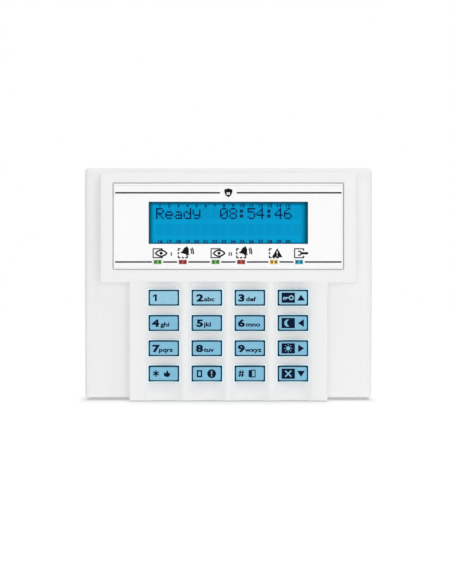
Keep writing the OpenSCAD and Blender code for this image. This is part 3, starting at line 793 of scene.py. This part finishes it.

# %% [markdown]
# ## Keys
#
# The sixteen caps are translucent and lit from behind, so most of their colour is emission, a little brighter
# in the top row. Their sides carry painted shade, dark blue-green, where they sink into the openings. The caps
# keep the frame's shape, which already has a rounded edge, and the print on them is added.

# %% Key caps
def key_finish():
    paint = Finish("key_caps", roughness=0.42, IOR=1.4)
    x, y, z = paint.place()
    top = (z - middle("key_4").z).ramp(2.2 * MM, 5 * MM)
    face = paint.mix((0.205, 0.5, 0.685), (0.285, 0.575, 0.735), top)
    cloud = paint.noise(2.2 * MM, detail=2.0)
    face = paint.mix(face, (0.17, 0.42, 0.6), cloud.ramp(0.45, 0.8) * 0.3)
    # painted shade: the sides darken towards the back, down into the openings
    side = (0 - y).ramp(key_front - 0.42 * MM, key_front - 0.1 * MM)
    face = paint.mix((0.001, 0.022, 0.045), face, side)
    paint.feed("Base Color", paint.mix((0, 0, 0), face, 0.55))
    paint.feed("Emission Color", face)
    paint.feed("Emission Strength", 0.45)
    grain = paint.noise(0.15 * MM)
    paint.feed("Roughness", grain * 0.12 + 0.36)
    paint.bump(grain, 0.003 * MM, 0.4)
    return paint.material


KEY_FINISH = key_finish()
for name in KEYS:
    retouch(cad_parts[name], KEY_FINISH)
print("finished", len(KEYS), "keys")

# %% [markdown]
# ## Signs on the keys
#
# Twelve keys carry a large figure or sign and small letters, and the four keys at the right carry
# a sign cut out of a dark square and an arrow. A cut-out is an inner loop of the filled curve.

# %% Signs cut out of a square
TILE = (-4.35, -1.95, 0.75, 1.95)
tile_x = (TILE[0] + TILE[2]) / 2


def turned(points, angle, x=0.0, z=0.0):
    cos, sin = math.cos(math.radians(angle)), math.sin(math.radians(angle))
    return [(x + a * cos - b * sin, z + a * sin + b * cos) for a, b in points]


def tile_sign(name):
    """The loops that are cut out of a key's dark square."""
    if name == "key_up":  # a key: its shaft and two teeth, and the ring of its handle
        shaft = [(-1.95, 0.25), (0.3, 0.25), (0.3, -0.2), (-0.75, -0.2), (-0.75, -0.75),
                 (-1.1, -0.75), (-1.1, -0.2), (-1.5, -0.2), (-1.5, -0.85), (-1.95, -0.85)]
        handle = [ring(tile_x + 1.15, 0, r) for r in (0.95, 0.5)]
        return [[(tile_x + a, b) for a, b in shaft], *handle]
    if name == "key_left":  # a moon
        outer = ring(tile_x - 0.1, 0, 1.4, 75, 210, 20)
        inner = ring(tile_x + 0.75, 0.1, 1.25, 245, -140, 16)
        return [outer + inner]
    if name == "key_right":  # a sun
        rays = [turned(box_loop(1.12, -0.13, 1.55, 0.13), 45 * i, tile_x) for i in range(8)]
        return [ring(tile_x, 0, 0.78), *rays]
    a, b = 1.35, 0.38  # a cross: half its size, and half the width of its arms
    cross = [(b, 0), (a, a - b), (a - b, a), (0, b), (b - a, a), (-a, a - b), (-b, 0), (-a, b - a),
             (b - a, -a), (0, -b), (a - b, -a), (a, b - a)]
    return [[(tile_x + p, q) for p, q in cross]]


print("square at", TILE[:2], "to", TILE[2:], "mm from each key's middle")

# %% [markdown]
# ## The bottom row
#
# Three keys of the bottom row have two signs each: a star and a flame, a zero and an exclamation
# mark in a disc, a hash and an open door. None of them is a letter of the font, so they are drawn
# from bars, discs and outlines.

# %% Signs of the bottom row
def star_key(ink):
    for angle in (90, 30, 150):
        ink.fill(turned(box_loop(-1.25, -0.24, 1.25, 0.24), angle, -3.0, 0.1))
    flame = [(0, -1.3), (0.75, -1.15), (1.25, -0.45), (1.3, 0.45), (0.75, 0.05), (0.5, 0.75),
             (0.15, 1.35), (-0.25, 0.65), (-0.4, 0.1), (-0.95, 0.55), (-1.25, -0.1), (-0.95, -0.95)]
    ink.fill([(1.2 + a, b) for a, b in flame])


def zero_key(ink):
    ink.line([(-3.55, -1.1), (-2.05, -1.1), (-2.05, 1.1), (-3.55, 1.1)], 0.8, closed=True)
    mark = [(-0.28, 1.05), (0.28, 1.05), (0.16, -0.3), (-0.16, -0.3)]
    ink.fill(ring(1.85, 0, 1.7), [(1.85 + a, b) for a, b in mark], ring(1.85, -0.85, 0.28, steps=12))


def hash_key(ink):
    for a in (-0.45, 0.5):
        ink.line([(-3.5 + a, -1.25), (-3.15 + a, 1.25)], 0.46)
        ink.line([(-4.35, a * 1.1), (-2.25, a * 1.1)], 0.46)
    ink.fill([(-0.5, -1.2), (0.85, -1.6), (0.85, 1.65), (-0.5, 1.25)])
    ink.line([(1.0, 1.35), (2.0, 1.35), (2.0, -1.2), (1.0, -1.2)], 0.52)


SIGN_KEYS = {"key_star": star_key, "key_0": zero_key, "key_hash": hash_key}
print("drawn signs for", list(SIGN_KEYS))

# %% [markdown]
# ## Printing the keys
#
# The figures share one size, and each starts at its own place, because the letters beside it
# differ in width. Every print is a piece of its own that rides on its key, so it goes down with
# it. The figure 1 is drawn, since the font's 1 is too narrow to stretch.

# %% Print the keys
KEY_TEXT = {  # figure, letters, and where each of them starts, left of the key's middle
    "key_1": ("1", "", 4.3, 0), "key_2": ("2", "abc", 3.95, 1.1), "key_3": ("3", "def", 4.5, 1.55),
    "key_4": ("4", "ghi", 4.4, 1.2), "key_5": ("5", "jkl", 3.95, 1.1), "key_6": ("6", "mno", 4.55, 1.5),
    "key_7": ("7", "pqrs", 4.35, 1.9), "key_8": ("8", "tuv", 4.1, 1.15), "key_9": ("9", "wxyz", 4.55, 1.8)}
ARROWS = {"key_up": 90, "key_left": 180, "key_right": 0, "key_down": 270}
BASELINE = -1.3
FIGURE_LOOK, LETTER_LOOK = (3.65, 0.18, 1.42), (2.3, 0.08, 1.3)  # size, extra weight, extra width


def key_print(name):
    place = middle(name)
    ink = Ink(place.x, place.z, key_front)
    if name in KEY_TEXT:
        figure, letters, figure_x, letters_x = KEY_TEXT[name]
        if figure == "1":
            one = [(0.9, BASELINE), (1.65, BASELINE), (1.65, 1.3), (0.9, 1.3),
                   (0.05, 0.75), (0.2, 0.25), (0.9, 0.65)]
            ink.fill([(a - figure_x, b) for a, b in one])
        else:
            ink.text(figure, -figure_x, BASELINE, *FIGURE_LOOK)
            ink.text(letters, -letters_x, BASELINE, *LETTER_LOOK)
    elif name in ARROWS:
        ink.fill(box_loop(*TILE), *tile_sign(name))
        ink.fill(turned([(-1.1, -1.5), (1.2, 0), (-1.1, 1.5)], ARROWS[name], 3.1, 0))
    else:
        SIGN_KEYS[name](ink)
    made = ink.made(name.replace("key_", "print_"), NAVY_INK)
    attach(made, name)
    return len(made.data.polygons)


print("key prints", sum(key_print(name) for name in KEYS), "faces")

# %% [markdown]
# ## The key mat
#
# A silicone mat lies under the keys, with one dome for each. Pressing a key flattens its dome only, so the mat
# is made as a web with sixteen openings and sixteen separate domes. The rubber is dull and a little dusty,
# which soft noise gives.

# %% Rubber and carbon
def soft_rubber():
    paint = Finish("silicone", (0.5, 0.51, 0.52), 0.7)
    dust = paint.noise(1.5 * MM, detail=4.0)
    paint.feed("Base Color", paint.mix((0.42, 0.43, 0.44), (0.55, 0.56, 0.57), dust))
    paint.feed("Roughness", dust * 0.2 + 0.6)
    return paint.material


RUBBER = soft_rubber()
CARBON = printed_ink("carbon", (0.012, 0.012, 0.013))
print("finishes", RUBBER.name, CARBON.name)

# %% [markdown]
# ## Turned pieces
#
# Domes and pills are round, so each is one outline turned round an axis that points at the wall.
# Blender's Spin tool would do it too; rings of points joined by faces keep every step in view.

# %% Turn an outline
def turned_piece(name, profile, centre, material, steps=32):
    """A closed profile of (radius, distance from the wall), turned round an axis along Y."""
    shape = bmesh.new()
    rings = []
    for radius, depth in profile:
        circle = [2 * math.pi * i / steps for i in range(steps)]
        points = [(centre.x + radius * math.cos(a), -depth, centre.z + radius * math.sin(a)) for a in circle]
        rings.append([shape.verts.new(point) for point in points])
    for low, high in zip(rings, rings[1:] + rings[:1]):
        for i in range(steps):
            j = (i + 1) % steps
            shape.faces.new((low[i], low[j], high[j], high[i]))
    bmesh.ops.recalc_face_normals(shape, faces=shape.faces)
    mesh = bpy.data.meshes.new(name)
    shape.to_mesh(mesh)
    shape.free()
    obj = add_object(name, mesh)
    return retouch(obj, material)


# %% [markdown]
# ## The web of the mat
#
# Between the domes the mat is a flat sheet that lies on the board. A filled flat curve gives it
# in one go: the rounded outline, with one round hole for each dome as an inner loop.

# %% The web
mat_low, mat_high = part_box("keypad_mat")
board_front = front("main_board")
web_front = board_front + 1.2 * MM
WEB_HOLE, WEB_CORNER = 3.05 * MM, 1.5 * MM


def mat_sheet():
    """The flat web: a plate with round holes where the domes are."""
    data = bpy.data.curves.new("mat", "CURVE")
    outline = []
    for sx, sz, start in ((1, 1, 0), (-1, 1, 90), (-1, -1, 180), (1, -1, 270)):
        corner_x = (mat_high.x if sx > 0 else mat_low.x) - sx * WEB_CORNER
        corner_z = (mat_high.z if sz > 0 else mat_low.z) - sz * WEB_CORNER
        outline += ring(corner_x, corner_z, WEB_CORNER, start, 90, 6)
    loops = [outline] + [ring(middle(k).x, middle(k).z, WEB_HOLE) for k in KEYS]
    for loop in loops:
        line = data.splines.new("POLY")
        line.points.add(len(loop) - 1)
        for point, (x, z) in zip(line.points, loop):
            point.co = (x, z, 0, 1)
        line.use_cyclic_u = True
    data.dimensions, data.fill_mode = "2D", "BOTH"
    data.extrude = (web_front - board_front) / 2
    obj = applied(add_object("mat_web", data), "mat_web")
    upright = Matrix.Rotation(math.pi / 2, 4, "X")
    obj.data.transform(Matrix.Translation((0, -(web_front + board_front) / 2, 0)) @ upright)
    return retouch(obj, RUBBER)


web = mat_sheet()
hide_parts("keypad_mat")
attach(web, "front")
print("web", len(web.data.polygons), "faces")

# %% [markdown]
# ## Domes and pills
#
# A dome is a hollow cone that buckles when its key is pressed. Here each dome is a fixed piece on the front,
# and the carbon pill under the key moves with the key, to close the contact. A key travels 0.16 mm further than
# the frame leaves between pill and pad. Soft rubber might take that up, which is a guess, but a rigid pill
# can't. So this pill is made thinner than the frame's, about a tenth of a millimetre instead of three tenths,
# and stops a few hundredths before the pads. With the frame's own thickness it would sink into the pads and the
# board.

# %% Domes and pills
TRAVEL, CLOSING_GAP, AXIS = 1.2 * MM, 0.03 * MM, 0.001 * MM
dome_top = -mat_low.y
pill_low, pill_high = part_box("carbon_pills")
pill_r = pill_high.z - middle("key_1").z
pill_front = -pill_low.y
pill_back = max(-pill_high.y, front("contact_pads") + TRAVEL + CLOSING_GAP)
DOME = [(3.0 * MM, board_front), (2.98 * MM, web_front), (2.2 * MM, dome_top - 0.15 * MM),
        (2.0 * MM, dome_top), (AXIS, dome_top), (AXIS, dome_top - 0.8 * MM),
        (1.7 * MM, dome_top - 0.8 * MM), (2.6 * MM, web_front - 0.2 * MM), (2.6 * MM, board_front)]
PILL = [(AXIS, pill_back), (pill_r - 0.1 * MM, pill_back), (pill_r, pill_back + 0.08 * MM),
        (pill_r, pill_front), (AXIS, pill_front)]
for name in KEYS:
    place = middle(name)
    dome = turned_piece(name.replace("key_", "dome_"), DOME, place, RUBBER)
    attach(dome, "front")
    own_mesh(dome)
    pill = turned_piece(name.replace("key_", "pill_"), PILL, place, CARBON)
    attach(pill, name)
    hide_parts("carbon_pills")
print("pills", round((pill_front - pill_back) / MM, 2), "mm thick")
print("domes", round((dome_top - board_front) / MM, 2), "mm high")

# %% [markdown]
# ## Boards and components
#
# The inside shows when the front swings open. Boards are green with darker copper runs under the
# lacquer, drawn as stretched cells; metals differ in colour and in brushing; moulded black parts
# share one finish.

# %% Inner finishes
def board_finish(name, green=(0.012, 0.16, 0.06)):
    paint = Finish(name, green, 0.3, Coat_Weight=0.3)
    runs = paint.cells(3.2 * MM)
    trace = abs(runs.wrap(0.22) - 0.11).ramp(0.03, 0.055)
    dark = tuple(c * 0.55 for c in green)
    paint.feed("Base Color", paint.mix(green, dark, trace))
    paint.feed("Roughness", trace * 0.12 + 0.26)
    paint.bump(1 - trace, 0.02 * MM, 0.4)
    return paint.material


def metal_finish(name, colour, rough=0.3, stretch=(1, 1, 12)):
    paint = Finish(name, colour, rough, metal=1.0)
    brushed = paint.noise(0.5 * MM, detail=3.0, stretch=stretch)
    dull = tuple(c * 0.75 for c in colour)
    paint.feed("Base Color", paint.mix(dull, colour, brushed.ramp(0.3, 0.6)))
    paint.feed("Roughness", brushed * 0.2 + rough)
    return paint.material


def plastic_finish(name, colour, rough=0.45, size=0.3):
    paint = Finish(name, colour, rough)
    grain = paint.noise(size * MM, detail=3.0)
    pale = tuple(min(1.0, c * 1.15 + 0.004) for c in colour)
    paint.feed("Base Color", paint.mix(colour, pale, grain))
    paint.feed("Roughness", grain * 0.15 + rough)
    paint.bump(grain, 0.01 * MM, 0.5)
    return paint.material


GREEN = board_finish("green_board")
STEEL = metal_finish("zinc_steel", (0.62, 0.62, 0.64))
GOLD = metal_finish("gold_pins", (0.83, 0.6, 0.22), 0.22)
BLACK = plastic_finish("black_resin", (0.02, 0.02, 0.021))
NYLON = plastic_finish("nylon", (0.78, 0.76, 0.68), 0.4)
FINISHES = {
    "lcd_board": GREEN, "main_board": GREEN, "lcd_screws": STEEL, "board_screws": STEEL,
    "terminal_screws": STEEL, "terminal_clamps": STEEL, "lcd_pins": GOLD, "service_pins": GOLD,
    "contact_pads": GOLD, "microcontroller": BLACK, "voltage_regulator": BLACK, "resistors": BLACK,
    "buzzer": BLACK, "tamper_switch": BLACK, "lcd_spacers": NYLON, "tamper_plunger": NYLON,
    "lcd_bezel": metal_finish("black_lacquer", (0.015, 0.015, 0.016), 0.4),
    "crystal": metal_finish("nickel_can", (0.72, 0.7, 0.68), 0.18),
    "capacitors": plastic_finish("capacitor_sleeve", (0.02, 0.03, 0.12), 0.3),
    "terminal_block": plastic_finish("green_terminal", (0.03, 0.32, 0.12)),
    "lcd_strips": plastic_finish("zebra_rubber", (0.35, 0.36, 0.37), 0.6),
    "lcd_backlight": plastic_finish("backlight", (0.1, 0.45, 0.8), 0.4),
    "green_leds": plastic_finish("led_green", (0.2, 0.7, 0.2), 0.25),
    "red_leds": plastic_finish("led_red", (0.75, 0.06, 0.05), 0.25),
    "yellow_leds": plastic_finish("led_yellow", (0.85, 0.65, 0.1), 0.25),
    "blue_leds": plastic_finish("led_blue", (0.1, 0.6, 0.85), 0.25),
    "key_leds": plastic_finish("led_key", (0.1, 0.6, 0.85), 0.25),
    "latch_tongues": WHITE,
}
for node, material in FINISHES.items():
    retouch(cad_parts[node], material, 30)
print("inner finishes", len(FINISHES))

# %% [markdown]
# ## Solder and end caps
#
# The pins that pass through the main board are soldered at its back. A joint is a small cone of
# slightly uneven size; a surface resistor has a bright cap at each end. Both are grown on points.

# %% Solder joints and end caps
def solder_cone(tree, size):
    sizes = {"Vertices": 14, "Side Segments": 3, "Radius Top": size["Top"],
             "Radius Bottom": size["Foot"], "Depth": size["Height"]}
    cone = tree.node("GeometryNodeMeshCone", None, sizes)
    values = {0: cone.outputs["Mesh"], "Rotation": (-math.pi / 2, 0, 0)}
    return tree.node("GeometryNodeTransform", None, values).outputs[0], uneven(tree, 0.85, 1.1)


PINS, PIN_STEP = 16, 2.54 * MM
board_back = -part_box("main_board")[1].y
pin_z = middle("lcd_pins").z
pin_points = [((i - (PINS - 1) / 2) * PIN_STEP, -board_back, pin_z) for i in range(PINS)]
SOLDER = metal_finish("solder", (0.7, 0.7, 0.71), 0.28, (1, 1, 1))
solder = grow("solder_joints", pin_points, SOLDER, solder_cone,
              Foot=0.85 * MM, Top=0.4 * MM, Height=0.7 * MM)
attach(solder, "front")

# two rows of resistors: the first one's x, the row's height above the panel's foot, and how many
RESISTOR_ROWS, RESISTOR_STEP = [(-40, 54, 8), (14, 56, 6)], 2.6
CAP_APART, RESISTOR_HALF_T = 0.82, 0.275 * MM
resistors_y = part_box("resistors")[0].y + RESISTOR_HALF_T
caps = [((x + RESISTOR_STEP * i) * MM, resistors_y, cad_low.z + (z + s * CAP_APART) * MM)
        for x, z, count in RESISTOR_ROWS for i in range(count) for s in (-1, 1)]
end_caps = grow("resistor_caps", caps, SOLDER, slab,
                Width=1.24 * MM, Thickness=0.59 * MM, Height=0.4 * MM)
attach(end_caps, "front")

# %% [markdown]
# ## Camera
#
# The panel is seen square from the front, from half a metre away, with a long lens. A longer
# lens from further off would flatten it more, and a shorter one would show the block's sides.

# %% Camera
CAMERA_AWAY = 500 * MM
camera = add_object("camera", bpy.data.cameras.new("camera"))
camera.location = (-0.9 * MM, -CAMERA_AWAY, -3.2 * MM)
camera.rotation_euler = (math.pi / 2, 0, 0)
camera.data.sensor_width, camera.data.lens = 36, 76.87
camera.data.clip_start, camera.data.clip_end = 10 * MM, 20
camera.data.dof.use_dof = False
bpy.context.scene.camera = camera
print("lens", camera.data.lens, "mm")

# %% [markdown]
# ## Lights
#
# White mouldings need a white surround, which lights them evenly from all sides. On top of that a
# wide light in front keeps the front faces bright, and two soft lights above, one of them to the
# right, shade the steps of the moulding. The surround looks brighter to the camera than it is to
# the panel, so that the background stays white without washing out the shading.

# %% Lights
def soft_light(name, place, width, power, aim=(0, -0.01, 0)):
    data = bpy.data.lights.new(name, "AREA")
    data.size, data.energy = width, power
    lamp = add_object(name, data)
    lamp.location = place
    lamp.rotation_euler = (Vector(aim) - Vector(place)).to_track_quat("-Z", "Y").to_euler()
    return lamp


soft_light("key_light", (0.45, -0.55, 0.75), 0.5, 0.6)
soft_light("top_light", (0.05, -0.1, 0.8), 0.6, 2.3)
soft_light("front_light", (0.05, -1.05, 0.03), 0.9, 4.5)

world = bpy.data.worlds.new("studio")
bpy.context.scene.world = world
world.use_nodes = True
studio = Tree(world.node_tree)
world.node_tree.nodes.clear()
dim = studio.node("ShaderNodeBackground", None, {"Color": (1, 1, 1, 1), "Strength": 0.44})
bright = studio.node("ShaderNodeBackground", None, {"Color": (1, 1, 1, 1), "Strength": 1.0})
seen = studio.num("ShaderNodeLightPath", output=0)
both = studio.node("ShaderNodeMixShader", None, {0: seen, 1: dim.outputs[0], 2: bright.outputs[0]})
studio.node("ShaderNodeOutputWorld", None, {"Surface": both.outputs[0]})
bpy.context.scene.view_settings.view_transform = "Standard"
print("lights", [light.name for light in bpy.data.lights])

# %% [markdown]
# ## Floor
#
# The floor is pale and shows only a soft shadow close to the panel's lower edge, stronger right
# under it. That shadow is painted by the distance from the foot of the wings and the key block,
# because the real light is too even to cast one. Seen from below the floor is left out, so that
# the panel can be looked at from there too.

# %% Floor
BLOCK_HALF = 38.1 * MM


def floor_finish():
    paint = Finish("studio_floor", (0.9, 0.9, 0.9), 0.9)
    x, y, z = paint.place()
    beside = (abs(x) - cad_high.x + 1.5 * MM).most(0.0) * 6
    foot = (abs(x) < BLOCK_HALF) * (key_front - WING_FRONT) + WING_FRONT
    before = (0 - y - foot).most(0.0) + y.most(0.0) * 6
    away = (beside ** 2 + before ** 2) ** 0.5
    near = (1 - away.ramp(-12 * MM, 60 * MM)) ** 1.2
    under = 1 - away.ramp(-0.5 * MM, 1.5 * MM)
    paint.feed("Emission Color", paint.mix((1, 1, 1), (0.38, 0.38, 0.38), near.most(under)))
    paint.feed("Emission Strength", 0.62)
    shaded = paint.mix((0.9, 0.9, 0.9), (0.68, 0.68, 0.68), near)
    paint.feed("Base Color", paint.mix(shaded, (0.45, 0.45, 0.45), under))
    # the panel itself is lit from below by a plain matt floor that glows a little
    matt = paint.node("ShaderNodeBsdfDiffuse", None, {"Color": (0.9, 0.9, 0.9, 1)})
    fill = paint.node("ShaderNodeEmission", None, {"Strength": 0.24})
    plain = paint.node("ShaderNodeAddShader", None, {0: matt.outputs[0], 1: fill.outputs[0]})
    clear = paint.node("ShaderNodeBsdfTransparent")
    seen = paint.num("ShaderNodeLightPath")
    bright = paint.node("ShaderNodeMixShader", None, {0: seen, 1: plain.outputs[0], 2: paint.shader.outputs[0]})
    below = paint.node("ShaderNodeNewGeometry").outputs["Backfacing"]  # seen from under the floor
    shown = paint.node("ShaderNodeMixShader", None, {0: below, 1: bright.outputs[0], 2: clear.outputs[0]})
    paint.tree.links.new(shown.outputs[0], paint.tree.nodes["Material Output"].inputs["Surface"])
    return paint.material


FLOOR_HALF, FLOOR_DROP = 2.5, 0.3 * MM
floor_mesh = bpy.data.meshes.new("floor")
corners = [(x * FLOOR_HALF, y * FLOOR_HALF, cad_low.z - FLOOR_DROP)
           for x, y in ((-1, -1), (1, -1), (1, 1), (-1, 1))]
floor_mesh.from_pydata(corners, [], [(0, 1, 2, 3)])
floor_mesh.materials.append(floor_finish())
add_object("floor", floor_mesh)
print("floor", 2 * FLOOR_HALF, "m wide")
